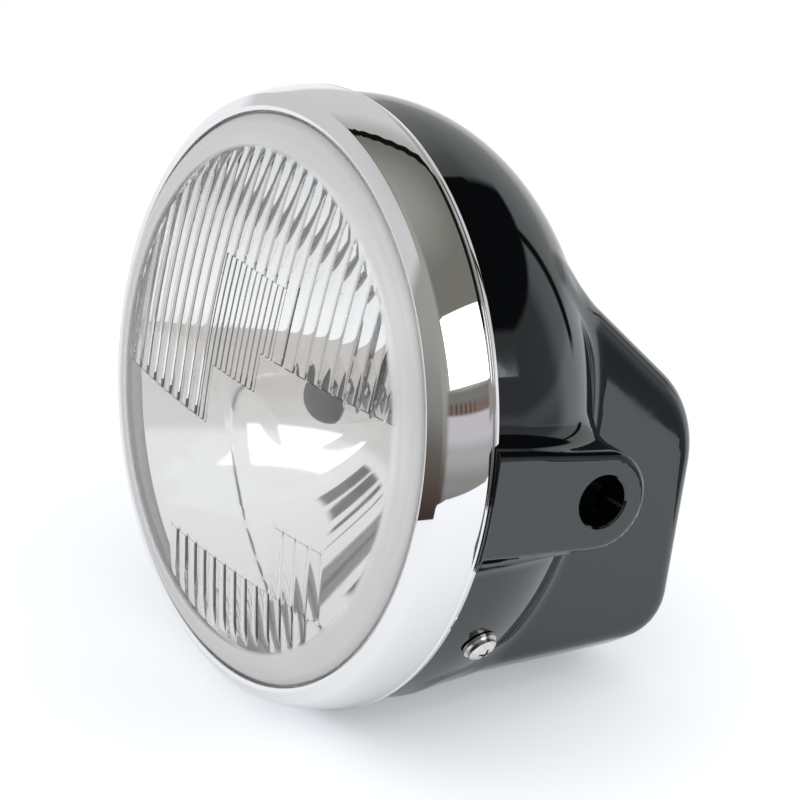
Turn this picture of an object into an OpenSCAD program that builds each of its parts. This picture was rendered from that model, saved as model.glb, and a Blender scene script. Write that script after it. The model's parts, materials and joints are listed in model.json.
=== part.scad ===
// Round motorcycle headlight: a black bucket with side lugs and a rear housing,
// a chrome trim ring, and a sealed lens and reflector unit with its bulb.
// Millimetres. The lamp looks along -Y, +Z is up, and the origin lies midway
// between the two side mounting holes, on their common axis.

/* [Bucket] */
// Radial gap between the bowl and the widest part of the trim ring over it
bowl_gap = 1.5; // [1.3:0.1:2.4]
// Radius of the bowl's rounded shoulder in section
bowl_shoulder_r = 50; // [46:1:54]
// Where the rounded shoulder starts, along the lamp axis
bowl_shoulder_y = -29; // [-32:0.5:-27]
// Front edge of the bucket, inside the trim ring
bowl_front_y = -43; // [-44:0.5:-41]
// Wall thickness of the bucket
wall = 2.6; // [2:0.1:3.2]
// Width of the rear housing
housing_w = 120; // [112:1:124]
// Distance from the mounting axis back to the rear face
housing_rear_y = 61.5; // [58:0.5:66]
// Edge radius of the rear housing
housing_edge_r = 6.5; // [5:0.5:8]
// Height of the sloping top above the mounting axis
housing_top_z = 59; // [56:0.5:60]
// Slope of the top, down to the rear, in degrees
housing_top_slope = 37.3; // [34:0.1:39]
// Side-view radius where the top turns down into the rear face
housing_turn_r = 36.5; // [28:0.5:38]
// Depth of the housing's lower side edge below the mounting axis
housing_sill_z = 69.2; // [66:0.1:69.5]
// Slope of the underside, up to the rear, in degrees
housing_sill_slope = 7; // [6:0.1:11]
// Radius of the turn from the underside into the rear wall, seen from the side
housing_heel_r = 15.5; // [12:0.5:18]
// How far the rounded belly hangs below the side edges
housing_belly = 16.5; // [14:0.5:18]

/* [Side lugs] */
// Distance between the two lug faces
lug_span = 194; // [190:1:198]
// Radius of the lug's round end
lug_r = 15.5; // [14.5:0.5:17]
// Radius of the mounting hole
lug_hole_r = 8; // [6:0.1:8.2]
// Half height of the lug's face at the trim ring, upwards
lug_rise = 16.6; // [15:0.2:18]
// Half height of the lug's face at the trim ring, downwards
lug_drop = 19.4; // [18:0.2:21]
// Thickness of the lug's outer face
lug_face_t = 4; // [3:0.1:5]
// Depth of the collar round the mounting hole
lug_collar_l = 18; // [12:1:22]
// Wall of the collar round the mounting hole
lug_collar_t = 3; // [2.5:0.1:3.5]
// Rounded edge of the lug's face
lug_edge = 1.6; // [1:0.2:2]

/* [Trim ring] */
// Largest outer radius of the chrome trim ring
rim_r = 95; // [94.8:0.1:96]
// Sheet thickness of the trim ring
rim_t = 0.9; // [0.8:0.1:1]
// Width of the trim ring's face, from its lip to its largest radius
rim_face_w = 8; // [7.6:0.1:8.1]
// Front of the trim ring's lip
rim_front_y = -58.5; // [-59:0.1:-58.4]
// Rear edge of the trim ring
rim_rear_y = -37; // [-38:0.2:-36]
// How much smaller the crease is than the largest radius
rim_crease_in = 2; // [1.6:0.1:2]

/* [Lens and reflector] */
// How far the lens dome stands out of the trim ring's lip
lens_bulge = 12; // [10.5:0.1:13]
// Radius of the lens dome
lens_dome_r = 380; // [350:5:400]
// Width of the clear ring between the lens dome and the trim ring's lip
lens_ring_w = 12; // [11:0.5:14]
// Thickness of the glass
glass_t = 3.5; // [3:0.1:3.8]
// How far the lens flange reaches behind the trim ring's lip
lens_lap = 3; // [2.5:0.1:3.5]
// Pitch of the vertical ribs
rib_pitch = 6; // [5.5:0.1:6.5]
// Height of a rib above the inner face
rib_h = 0.7; // [0.5:0.1:0.9]
// How far the edge of the dish lies outside the lens dome
dish_margin = 6.6; // [6.2:0.1:7]
// Vertex of the reflector on the lamp axis
vertex_y = 10; // [9.8:0.1:10.2]
// Sheet thickness of the reflector
reflector_t = 0.8; // [0.6:0.1:0.9]
// Radius of the reflector's bulb neck
neck_r = 22; // [21.5:0.1:22.4]
// Thickness of the sealant between lens and reflector
seal_t = 1; // [0.8:0.1:1.2]

/* [Bulb] */
// Outer radius of the bulb's glass tube
bulb_r = 8.5; // [8:0.1:8.8]
// Length of the glass tube in front of its cap
bulb_glass_l = 51; // [48:1:54]
// Wall of the glass tube
bulb_wall = 1; // [0.8:0.1:1.2]
// Radius of the bulb's round flange
bulb_flange_r = 21.5; // [21:0.1:21.8]
// Radius of a filament coil
filament_r = 0.8; // [0.6:0.1:1]
// Diameter of the support wires
support_d = 0.9; // [0.8:0.1:1]

/* [Fixings] */
// Angle of the trim ring screws below the horizontal
screw_angle = 33.8; // [32:0.2:36]
// Position of the trim ring screws along the lamp axis
screw_y = -21.2; // [-22:0.2:-20]
// Thread diameter of the trim ring screws
screw_d = 5; // [4:0.1:5]
// Diameter of the trim ring screw's head
screw_head_d = 9.2; // [8:0.1:9.4]
// Diameter of the washer under it
washer_d = 11; // [10:0.1:11.4]
// Thickness of that washer
washer_t = 1; // [0.8:0.1:1.2]
// Thickness of the sheet brackets inside
bracket_t = 1; // [0.8:0.1:1.2]
// Radius of the wiring hole in the rear face
inlet_r = 18; // [15:0.5:18.5]
// Radius of the hole through the rubber grommet
grommet_bore_r = 13; // [8:0.5:13.5]
// Height of the wiring hole against the mounting axis
inlet_z = -25; // [-28:0.5:-22]

/* [Hidden] */
$fn = 96;

// Clearances
fit = 0.3;
thread_gap = 0.2;
cut = 1;

// Radii that follow the trim ring
bowl_r = rim_r - rim_t - bowl_gap;
rim_lip_r = rim_r - rim_face_w;
lens_dome_edge_r = rim_lip_r - lens_ring_w;
lens_flange_r = rim_lip_r + lens_lap;
dish_edge_r = lens_dome_edge_r + dish_margin;
lens_front_y = rim_front_y - lens_bulge;

// Bucket
shoulder_c = bowl_r - bowl_shoulder_r;
bowl_end_y = bowl_shoulder_y + bowl_shoulder_r;
housing_skeleton_x = housing_w/2 - housing_edge_r;
housing_front_y = -20;
housing_top_front_y = -3;
lug_face_x = lug_span/2;
lug_root_x = 50;

// Lens stack, from the lip backwards
lip_inner_y = rim_front_y + rim_t;
gasket_t = 1.4;
flange_front_y = lip_inner_y + gasket_t;
flange_back_y = flange_front_y + glass_t;
seal_back_y = flange_back_y + seal_t;
reflector_back_y = seal_back_y + reflector_t;
dome_c_y = lens_front_y + lens_dome_r;
dome_inner_r = lens_dome_r - glass_t;
crease_y = rim_front_y + 2.1;
crease_r = rim_r - rim_crease_in;
rim_inner_r = rim_r - rim_t;
focal = pow(dish_edge_r, 2)/(4*(vertex_y - seal_back_y));

// Bulb, from its seat forwards and backwards
seat_y = vertex_y + 2;
seat_t = 1.2;
flange_t = 1.2;
bulb_ref_y = seat_y + seat_t;
bulb_floor_y = bulb_ref_y - 4.2;
cap_front_y = bulb_floor_y - 8;
focus_y = vertex_y - focal;
low_l = 5;
high_l = 4.5;
high_y = focus_y + 7.5;
low_z = 1.6;
support_x = 3;

// Where a trim ring screw leaves the bucket
screw_drop = bowl_shoulder_r - sqrt(pow(bowl_shoulder_r, 2) - pow(screw_y - bowl_shoulder_y, 2));
screw_r = bowl_r - screw_drop;
screw_tilt = asin((screw_y - bowl_shoulder_y)/bowl_shoulder_r);
screw_angles = [-screw_angle, 180 + screw_angle];

function dome_y(r, dome) = dome_c_y - sqrt(pow(dome, 2) - pow(r, 2));
function top_z(y) = housing_top_z - tan(housing_top_slope)*y;
function sill_z(y) = -housing_sill_z + tan(housing_sill_slope)*y;
function dish_y(r) = vertex_y - pow(r, 2)/(4*focal);
function ramp(a, b, n) = [for (i = [0:n]) a + (b - a)*i/n];

// Turns a section, drawn as radius against position along the lamp axis
module turned() {
    rotate([-90, 0, 0]) rotate_extrude() children();
}

// Turns a section over part of a circle, centred on an angle above +X
module sector(middle, width) {
    rotate([-90, 0, 0]) rotate([0, 0, -middle - width/2])
        rotate_extrude(angle = width) children();
}

// Stands children on the lamp axis direction
module along_y(y) {
    translate([0, y, 0]) rotate([-90, 0, 0]) children();
}

// Puts children at a trim ring screw, with +Z out of the bucket
module at_screw(angle) {
    rotate([0, -angle, 0]) translate([screw_r, screw_y, 0])
        rotate([0, 0, screw_tilt]) rotate([0, 90, 0]) children();
}

// Solid of the round bowl, drawn in by a wall
module bowl_solid(inset) {
    r = bowl_r - inset;
    shoulder = bowl_shoulder_r - inset;
    front = bowl_front_y - (inset > 0 ? cut : 0);
    turned() union() {
        translate([0, front]) square([r, bowl_shoulder_y - front]);
        intersection() {
            union() {
                translate([shoulder_c, bowl_shoulder_y]) circle(r = shoulder);
                translate([0, bowl_shoulder_y]) square([shoulder_c, shoulder]);
            }
            translate([0, bowl_shoulder_y]) square([r, shoulder]);
        }
    }
}

// Centres of the balls that the housing is stretched over: [x, y, z]
function housing_top() = let (
    turn_y = housing_rear_y - housing_turn_r,
    turn_z = top_z(turn_y) - housing_turn_r/cos(housing_top_slope),
    k = housing_turn_r - housing_edge_r
) concat(
    [[housing_top_front_y, top_z(housing_top_front_y) - housing_edge_r/cos(housing_top_slope)]],
    [for (a = ramp(90 - housing_top_slope, 0, 4)) [turn_y + k*cos(a), turn_z + k*sin(a)]]
);
function housing_heel() = let (
    turn_y = housing_rear_y - housing_heel_r,
    turn_z = sill_z(turn_y) + housing_heel_r/cos(housing_sill_slope),
    k = housing_heel_r - housing_edge_r
) concat(
    [for (a = ramp(0, housing_sill_slope - 90, 3)) [turn_y + k*cos(a), turn_z + k*sin(a)]],
    [[housing_front_y, sill_z(housing_front_y) + housing_edge_r/cos(housing_sill_slope)]]
);
function housing_centres() = concat(
    [for (x = [-1, 1], p = housing_top()) [x*housing_skeleton_x, p[0], p[1]]],
    [for (x = ramp(-1, 1, 10), p = housing_heel())
        [x*housing_skeleton_x, p[0], p[1] - housing_belly*(1 - pow(abs(x), 2.4))]]
);

// Solid of the rear housing, drawn in by a wall
module housing_solid(inset) {
    hull() {
        for (p = housing_centres()) translate(p) sphere(r = housing_edge_r - inset, $fn = 24);
    }
}

// Face outline of a lug, drawn in by an inset: x is along the lamp, y is up
module lug_outline(inset) {
    front = rim_rear_y + fit;
    rise = lug_rise - inset;
    drop = lug_drop - inset;
    r = lug_r - inset;
    circle(r = r, $fn = 40);
    polygon([[front, rise], [0, r], [0, -r], [front, -drop]]);
}

// A slab of the lug's outline, from one distance out to another
module lug_slab(x0, x1, inset) {
    translate([x0, 0, 0]) rotate([90, 0, 90]) linear_extrude(x1 - x0) lug_outline(inset);
}

module lug_solid() {
    hull() {
        lug_slab(lug_root_x, lug_face_x - lug_edge, 0);
        lug_slab(lug_face_x - cut/10, lug_face_x, lug_edge*0.9);
    }
}

module both_sides() {
    children();
    mirror([1, 0, 0]) children();
}

module shell() {
    color([0.03, 0.03, 0.035]) difference() {
        union() {
            difference() {
                union() {
                    bowl_solid(0);
                    housing_solid(0);
                    both_sides() lug_solid();
                }
                bowl_solid(wall);
                housing_solid(wall);
                both_sides() lug_slab(lug_root_x - wall, lug_face_x - lug_face_t, wall);
            }
            both_sides() translate([lug_face_x - lug_collar_l, 0, 0]) rotate([0, 90, 0])
                cylinder(r = lug_hole_r + lug_collar_t, h = lug_collar_l - cut);
            hook_rest();
        }
        both_sides() translate([lug_face_x - lug_collar_l - cut, 0, 0]) rotate([0, 90, 0])
            cylinder(r = lug_hole_r, h = lug_collar_l + 2*cut);
        for (a = screw_angles)
            at_screw(a) translate([0, 0, -2*wall]) cylinder(d = screw_d + 2*fit, h = 3*wall);
        translate([0, 0, inlet_z]) along_y(housing_rear_y - 2*wall) cylinder(r = inlet_r, h = 3*wall);
        drain_hole();
    }
}

// Small pad inside the front edge that the trim ring hooks behind
module hook_rest() {
    sector(90, 12) translate([hook_rest_r, bowl_front_y])
        square([bowl_r - wall/2 - hook_rest_r, hook_rest_l]);
}

module drain_hole() {
    translate([0, bowl_shoulder_y, -bowl_r]) cylinder(d = screw_d, h = 4*wall, center = true);
}

hook_rest_r = bowl_r - wall - 1.6;
hook_rest_l = 5;

// Section of the trim ring: rolled lip, narrow front face, crease and a gently bulged band
function rim_band(y, inset) = rim_r - inset
    - rim_crease_in*pow(1 - (y - crease_y)/(rim_rear_y - 2.5 - crease_y), 2);
module rim_section() {
    band = ramp(crease_y, rim_rear_y - 2.5, 12);
    lip = [[rim_lip_r, rim_front_y + 1.5], [rim_lip_r + 0.1, rim_front_y + 0.7],
        [rim_lip_r + 0.6, rim_front_y + 0.15], [rim_lip_r + 1.4, rim_front_y],
        [crease_r - 1.6, rim_front_y + 0.9], [crease_r - 0.5, rim_front_y + 1.3]];
    curl = [[rim_r - 0.15, rim_rear_y - 1.2], [rim_r - 0.5, rim_rear_y - 0.3], [rim_r - 0.9, rim_rear_y]];
    outside = concat(lip, [for (y = band) [rim_band(y, 0), y]], curl);
    inside = concat([[rim_r - 1.4, rim_rear_y - 0.5], [rim_inner_r - 0.25, rim_rear_y - 1.4]],
        [for (i = [len(band) - 1:-1:0]) [rim_band(band[i], rim_t), band[i] + (i == 0 ? 0.5 : 0)]],
        [[crease_r - 1.8, lip_inner_y + 0.9], [rim_lip_r + 1.5, lip_inner_y],
         [rim_lip_r + rim_t, rim_front_y + 1.5]]);
    polygon(concat(outside, inside));
}
module rim() {
    color([0.85, 0.86, 0.88]) turned() rim_section();
}

// Clear glass: dome between two spheres, steep shoulder and flat flange
module lens_section() {
    edge = lens_dome_edge_r;
    out_y = dome_y(edge, lens_dome_r);
    in_y = dome_y(edge, dome_inner_r);
    intersection() {
        translate([0, dome_c_y]) difference() {
            circle(r = lens_dome_r, $fn = 720);
            circle(r = dome_inner_r, $fn = 720);
        }
        translate([0, lens_front_y - cut]) square([edge, 20]);
    }
    ring = rim_lip_r - 2*fit - edge;
    fall = flange_front_y - out_y;
    polygon([[edge - cut, (out_y + in_y)/2], [edge, out_y], [edge + 0.35*ring, out_y + 0.12*fall],
        [edge + 0.65*ring, out_y + 0.28*fall], [edge + 0.84*ring, out_y + 0.48*fall],
        [edge + 0.96*ring, out_y + 0.75*fall], [edge + ring, flange_front_y], [lens_flange_r, flange_front_y],
        [lens_flange_r, flange_back_y], [edge + 0.72*ring, flange_back_y], [edge + 0.69*ring, flange_front_y],
        [edge + 0.5*ring, in_y + 0.35*glass_t], [edge, in_y]]);
}
module lens() {
    color([0.9, 0.95, 0.95, 0.4]) union() {
        turned() lens_section();
        lens_ribs();
    }
}

// One vertical rib that follows the inside of the dome between two heights
module lens_rib(x, z0, z1) {
    rib_r = (pow(rib_pitch/2, 2) + pow(rib_h, 2))/(2*rib_h);
    face = sqrt(pow(dome_inner_r, 2) - pow(x, 2));
    a0 = asin(z0/face);
    a1 = asin(z1/face);
    translate([0, dome_c_y, 0]) rotate([90, 0, -90]) rotate([0, 0, a0])
        rotate_extrude(angle = a1 - a0, $fn = 360) intersection() {
            translate([face + rib_r - rib_h, -x]) circle(r = rib_r);
            translate([face - 2*rib_h, -x - rib_w/2]) square([4*rib_h, rib_w]);
        }
}
rib_w = rib_pitch - 0.2;
module lens_ribs() {
    last = floor((lens_dome_edge_r - 1.5)/rib_pitch) - 1;
    for (i = [-last:last]) {
        x = i*rib_pitch;
        reach = sqrt(pow(lens_dome_edge_r - 1.5, 2) - pow(abs(x) + rib_w/2, 2));
        start = i < -2 ? -2*rib_pitch : (i < 2 ? rib_pitch : 3*rib_pitch);
        lens_rib(x, start, reach);
        if (i > -6 && i < 8) lens_rib(x, -reach, -0.69*lens_dome_edge_r);
    }
}

module lens_seal() {
    color([0.12, 0.12, 0.12]) turned() translate([lens_dome_edge_r + 9, flange_back_y])
        square([lens_flange_r - lens_dome_edge_r - 9.5, seal_t]);
}

// Its front follows the slope of the trim ring's lip
module rim_gasket() {
    inner = rim_lip_r + 1.6;
    color([0.05, 0.05, 0.05]) turned() polygon([[inner, lip_inner_y + 0.1], [lens_flange_r, lip_inner_y + 0.6],
        [lens_flange_r, flange_front_y], [inner, flange_front_y]]);
}

// Pressed dish with a flat flange and a bulb neck
module reflector() {
    inner = ramp(dish_edge_r, neck_r, 24);
    outer = ramp(neck_r + reflector_t, dish_edge_r + reflector_t*0.6, 24);
    color([0.8, 0.81, 0.83]) turned() polygon(concat(
        [[lens_flange_r + 0.5, seal_back_y]], [for (r = inner) [r, dish_y(r)]],
        [[neck_r, seat_y], [neck_r + reflector_t, seat_y]],
        [for (r = outer) [r, min(dish_y(r) + reflector_t*sqrt(1 + pow(r/(2*focal), 2)), seat_y)]],
        [[dish_edge_r + 2, reflector_back_y], [lens_flange_r + 0.5, reflector_back_y]]));
}

// Sheet catches, spot-welded inside the trim ring, that the clips push against
module rim_catches() {
    foot = rim_foot_r(catch_y - 4);
    color([0.62, 0.63, 0.64]) for (a = clip_angles) sector(a, 7) union() {
        translate([foot - bracket_t, catch_y - 4]) square([bracket_t, 4]);
        translate([lens_flange_r + 1, catch_y]) square([foot - lens_flange_r - 1, bracket_t]);
    }
}
function rim_foot_r(y) = rim_band(y, rim_t) - 0.05;
catch_y = bowl_front_y - 3;
clip_angles = [0, 60, 120, 180, 240, 300];

// Spring clips between the catches and the unit's flange
module unit_clips() {
    t = 0.7;
    back = catch_y - 0.05;
    pad = reflector_back_y + 0.05;
    color([0.55, 0.56, 0.58]) for (a = clip_angles) sector(a, 5) polygon([
        [lens_flange_r - 6, pad + 1], [lens_flange_r - 5, pad], [lens_flange_r - 1.5, pad],
        [lens_flange_r + 1.7, back - 1], [lens_flange_r + 1.7, back], [lens_flange_r + 0.4, back],
        [lens_flange_r + 0.4, back - 1], [lens_flange_r - 2, pad + t], [lens_flange_r - 4.8, pad + t],
        [lens_flange_r - 5.6, pad + 1.5]]);
}

module bulb_seat_ring() {
    color([0.7, 0.7, 0.7]) turned() translate([bulb_cap_r + fit, seat_y])
        square([neck_r + 1.5 - bulb_cap_r - fit, seat_t]);
}
bulb_cap_r = bulb_r + 2.3;

// Metal cap with its round flange, and the insulating body behind it
module bulb_base() {
    color([0.72, 0.72, 0.7]) turned() difference() {
        polygon([[0, cap_front_y], [bulb_cap_r, cap_front_y], [bulb_cap_r, bulb_ref_y],
            [bulb_flange_r, bulb_ref_y], [bulb_flange_r, bulb_ref_y + flange_t],
            [bulb_cap_r + 1.2, bulb_ref_y + flange_t], [bulb_cap_r + 1.2, bulb_ref_y + 5],
            [bulb_body_r, bulb_ref_y + 6], [bulb_body_r, bulb_back_y], [0, bulb_back_y]]);
        translate([-cut, cap_front_y - cut]) square([bulb_r + 0.1 + cut, bulb_floor_y - cap_front_y + cut]);
    }
}
bulb_body_r = 10.5;
bulb_back_y = bulb_ref_y + 12;

module bulb_terminals() {
    blade = [8, 9, 0.8];
    color([0.8, 0.78, 0.7]) for (p = [[0, 0, 7], [-7, 90, 0], [7, 90, 0]])
        translate([p[0], bulb_back_y + blade[1]/2, p[2]]) rotate([0, p[1], 0]) cube(blade, center = true);
}

module bulb_glass() {
    front = bulb_floor_y - bulb_glass_l;
    color([0.95, 0.95, 0.95, 0.4]) turned() difference() {
        union() {
            translate([0, front + bulb_r]) square([bulb_r, bulb_glass_l - bulb_r]);
            intersection() {
                translate([0, front + bulb_r]) circle(r = bulb_r);
                translate([0, front]) square([bulb_r, bulb_r]);
            }
        }
        translate([-cut, front + bulb_r]) square([bulb_r - bulb_wall + cut, bulb_glass_l]);
        translate([0, front + bulb_r]) circle(r = bulb_r - bulb_wall);
    }
}

// A tungsten coil, as its stack of turns
module coil(length) {
    turns = floor(length/filament_r);
    turned() union() {
        translate([0, -length/2]) square([filament_r*0.8, length]);
        for (i = [0:turns - 1])
            translate([filament_r*0.6, -length/2 + (i + 0.5)*length/turns]) circle(r = filament_r*0.4);
    }
}
module low_beam_filament() {
    color([0.5, 0.5, 0.52]) translate([0, focus_y, low_z]) coil(low_l);
}
module high_beam_filament() {
    color([0.5, 0.5, 0.52]) translate([0, high_y, 0]) coil(high_l);
}

// Wires that carry the coils from the cap
module filament_supports() {
    low_front = focus_y - low_l/2 - support_d/2;
    low_back = focus_y + low_l/2 + support_d/2;
    high_front = high_y - high_l/2 - support_d/2;
    high_back = high_y + high_l/2 + support_d/2;
    color([0.6, 0.6, 0.6]) {
        support([-support_x, 0, 0], low_front);
        support_bar([-support_x, low_front, 0], [0, low_front, low_z]);
        support_bar([-support_x, high_front, 0], [0, high_front, 0]);
        support([support_x, 0, 0], low_back);
        support_bar([support_x, low_back, 0], [0, low_back, low_z]);
        support([0, 0, -support_x], high_back);
        support_bar([0, high_back, -support_x], [0, high_back, 0]);
    }
}
module support(at, y_end) {
    translate([at[0], 0, at[2]]) along_y(y_end) cylinder(d = support_d, h = bulb_floor_y - y_end, $fn = 24);
}
module support_bar(a, b) {
    d = b - a;
    length = norm(d);
    translate(a) rotate([0, acos(d[2]/length), atan2(d[1], d[0])])
        cylinder(d = support_d, h = length, $fn = 24);
}

// Half cup that cuts the lower light of the dipped coil, on its own stem
module dip_shield() {
    cup_r = 4.6;
    cup_t = 0.4;
    back = focus_y + low_l/2 + 1;
    color([0.6, 0.6, 0.62]) {
        sector(270, 180) translate([cup_r, back - 9]) square([cup_t, 9]);
        sector(270, 180) translate([0, back - 9 - cup_t]) square([cup_r + cup_t, cup_t]);
        translate([0, 0, -cup_r - cup_t]) along_y(back - 2) cylinder(d = cup_t*2, h = bulb_floor_y - back + 2, $fn = 24);
    }
}

// Wire bail that presses the bulb's flange on its seat
module bulb_clip() {
    wire_r = 0.8;
    loop_r = bulb_cap_r + 4.5;
    y = bulb_ref_y + flange_t + wire_r;
    color([0.65, 0.65, 0.66]) {
        sector(90, 180) translate([loop_r, y]) circle(r = wire_r, $fn = 24);
        for (s = [-1, 1]) translate([s*loop_r, y, -loop_r + 1]) cylinder(r = wire_r, h = loop_r - 1, $fn = 24);
        for (s = [-1, 1]) translate([s*loop_r, y, -loop_r + 1]) sphere(r = wire_r, $fn = 24);
    }
}

// Ribbed rubber boot, gripping the reflector's neck and the bulb's body
module dust_boot() {
    grip_y = vertex_y - 1;
    neck = neck_r + reflector_t + 0.1;
    hollow = neck_r + 3.2;
    color([0.06, 0.06, 0.06]) turned() polygon([
        [neck, grip_y], [neck + 3.4, grip_y], [neck + 3.4, grip_y + 2], [hollow + 2.2, grip_y + 4],
        [hollow + 2.2, bulb_ref_y + 7], [hollow - 1.5, bulb_ref_y + 8.5], [hollow + 0.8, bulb_ref_y + 10],
        [hollow - 6, bulb_ref_y + 12.5], [bulb_body_r + 6, bulb_ref_y + 13.5],
        [bulb_body_r + 2.5, bulb_ref_y + 15], [bulb_body_r + 2.5, bulb_ref_y + 17],
        [bulb_body_r + 0.1, bulb_ref_y + 17], [bulb_body_r + 0.1, bulb_ref_y + 9],
        [hollow - 3, bulb_ref_y + 6], [hollow, bulb_ref_y + 5], [hollow, seat_y - 0.4], [neck, seat_y - 0.4]]);
}

// Hook at the top of the trim ring, reaching behind the pad in the bucket's edge
module rim_hook() {
    web_y = bowl_front_y - 2;
    arm_r = hook_rest_r - fit - bracket_t;
    foot = rim_foot_r(web_y - 4);
    color([0.62, 0.63, 0.64]) sector(90, 9) union() {
        translate([foot - bracket_t, web_y - 4]) square([bracket_t, 4]);
        translate([arm_r, web_y - bracket_t]) square([foot - arm_r, bracket_t]);
        translate([arm_r, web_y - bracket_t]) square([bracket_t, hook_rest_l + 2 + 2*bracket_t + fit]);
        translate([arm_r, bowl_front_y + hook_rest_l + fit]) square([bracket_t + 1.5, bracket_t]);
    }
}

// Sheet brackets, spot-welded inside the trim ring, that the screws pull on
module rim_brackets() {
    web_y = bowl_front_y - 2;
    foot = rim_foot_r(web_y - 4);
    arm_gap = fit;
    arm_ro = bowl_shoulder_r - wall - arm_gap;
    arm_ri = arm_ro - bracket_t;
    arm_r = shoulder_c + arm_ri;
    arm_end_y = screw_y + 7;
    color([0.62, 0.63, 0.64]) difference() {
        for (a = screw_angles) sector(a, 11) {
            translate([foot - bracket_t, web_y - 4]) square([bracket_t, 4]);
            translate([arm_r, web_y - bracket_t]) square([foot - arm_r, bracket_t]);
            translate([arm_r, web_y - bracket_t])
                square([bracket_t, bowl_shoulder_y - web_y + bracket_t]);
            intersection() {
                translate([shoulder_c, bowl_shoulder_y]) difference() {
                    circle(r = arm_ro);
                    circle(r = arm_ri);
                }
                translate([shoulder_c, bowl_shoulder_y]) square([arm_ro, arm_end_y - bowl_shoulder_y]);
            }
        }
        for (a = screw_angles)
            at_screw(a) translate([0, 0, -3*wall]) cylinder(d = screw_d + 2*fit, h = 4*wall);
    }
}

// Pan-head screws with a cross recess
module rim_screws() {
    head_h = 3.2;
    recess = [0.9, 4.6, 3];
    color([0.8, 0.8, 0.78]) for (a = screw_angles) at_screw(a) {
        difference() {
            translate([0, 0, washer_top]) pan_head(screw_head_d/2, head_h);
            for (turn = [0, 90]) rotate([0, 0, turn]) translate([0, 0, washer_top + head_h])
                cube(recess, center = true);
        }
        translate([0, 0, washer_top - 12]) cylinder(d = screw_d - 2*thread_gap, h = 12 + 0.5);
    }
}
washer_seat = 0.2;
washer_top = washer_seat + washer_t;

module pan_head(r, h) {
    rotate_extrude() intersection() {
        translate([0, h - 1.6*r]) circle(r = 1.6*r);
        square([r, h]);
    }
}

module rim_washers() {
    color([0.78, 0.78, 0.76]) for (a = screw_angles) at_screw(a) translate([0, 0, washer_seat])
        difference() {
            cylinder(d = washer_d, h = washer_t);
            translate([0, 0, -cut]) cylinder(d = screw_d + 2*fit, h = washer_t + 2*cut);
        }
}

// Square nuts with a round barrel, pressed to the inside of the brackets
module clip_nuts() {
    depth = wall + fit + bracket_t + 0.45;
    color([0.66, 0.64, 0.55]) for (a = screw_angles) at_screw(a) difference() {
        union() {
            translate([-6, -5, -depth - 1.2]) cube([12, 10, 1.2]);
            translate([0, 0, -depth - 4]) cylinder(d = screw_d + 3, h = 4);
        }
        translate([0, 0, -depth - 5]) cylinder(d = screw_d, h = 7);
    }
}

module wiring_grommet() {
    lip = 3;
    lip_t = 2;
    groove = 0.1;
    outer_y = housing_rear_y + groove;
    inner_y = housing_rear_y - wall - groove;
    color([0.05, 0.05, 0.05]) translate([0, 0, inlet_z]) turned() polygon([
        [grommet_bore_r, inner_y - lip_t], [inlet_r + lip, inner_y - lip_t], [inlet_r + lip, inner_y],
        [inlet_r - groove, inner_y], [inlet_r - groove, outer_y], [inlet_r + lip, outer_y],
        [inlet_r + lip - 1, outer_y + lip_t], [grommet_bore_r, outer_y + lip_t]]);
}

shell();
rim();
lens();
lens_seal();
reflector();
rim_gasket();
rim_catches();
unit_clips();
bulb_seat_ring();
bulb_base();
bulb_terminals();
bulb_glass();
low_beam_filament();
high_beam_filament();
filament_supports();
dip_shield();
bulb_clip();
dust_boot();
rim_hook();
rim_brackets();
rim_screws();
rim_washers();
clip_nuts();
wiring_grommet();
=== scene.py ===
import json
import math

import bmesh
import bpy
import numpy as np
from mathutils import Matrix, Vector
from mathutils.bvhtree import BVHTree


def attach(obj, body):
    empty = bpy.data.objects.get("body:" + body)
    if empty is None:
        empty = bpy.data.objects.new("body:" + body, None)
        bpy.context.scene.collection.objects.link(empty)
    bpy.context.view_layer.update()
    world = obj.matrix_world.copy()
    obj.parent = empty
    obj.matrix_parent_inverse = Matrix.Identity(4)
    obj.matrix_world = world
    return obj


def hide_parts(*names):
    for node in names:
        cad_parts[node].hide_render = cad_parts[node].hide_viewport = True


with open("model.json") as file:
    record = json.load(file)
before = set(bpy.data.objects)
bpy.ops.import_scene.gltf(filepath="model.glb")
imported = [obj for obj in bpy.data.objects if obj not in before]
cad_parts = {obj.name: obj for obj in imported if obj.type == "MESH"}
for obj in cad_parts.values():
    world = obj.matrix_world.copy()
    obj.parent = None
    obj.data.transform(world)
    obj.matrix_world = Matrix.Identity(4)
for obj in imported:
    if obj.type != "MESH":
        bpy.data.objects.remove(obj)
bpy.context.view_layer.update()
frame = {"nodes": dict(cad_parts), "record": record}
NODES = frame["nodes"]
MM = 0.001
BLACK = (0.006, 0.006, 0.006, 1)
WHITE = (1, 1, 1, 1)


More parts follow.
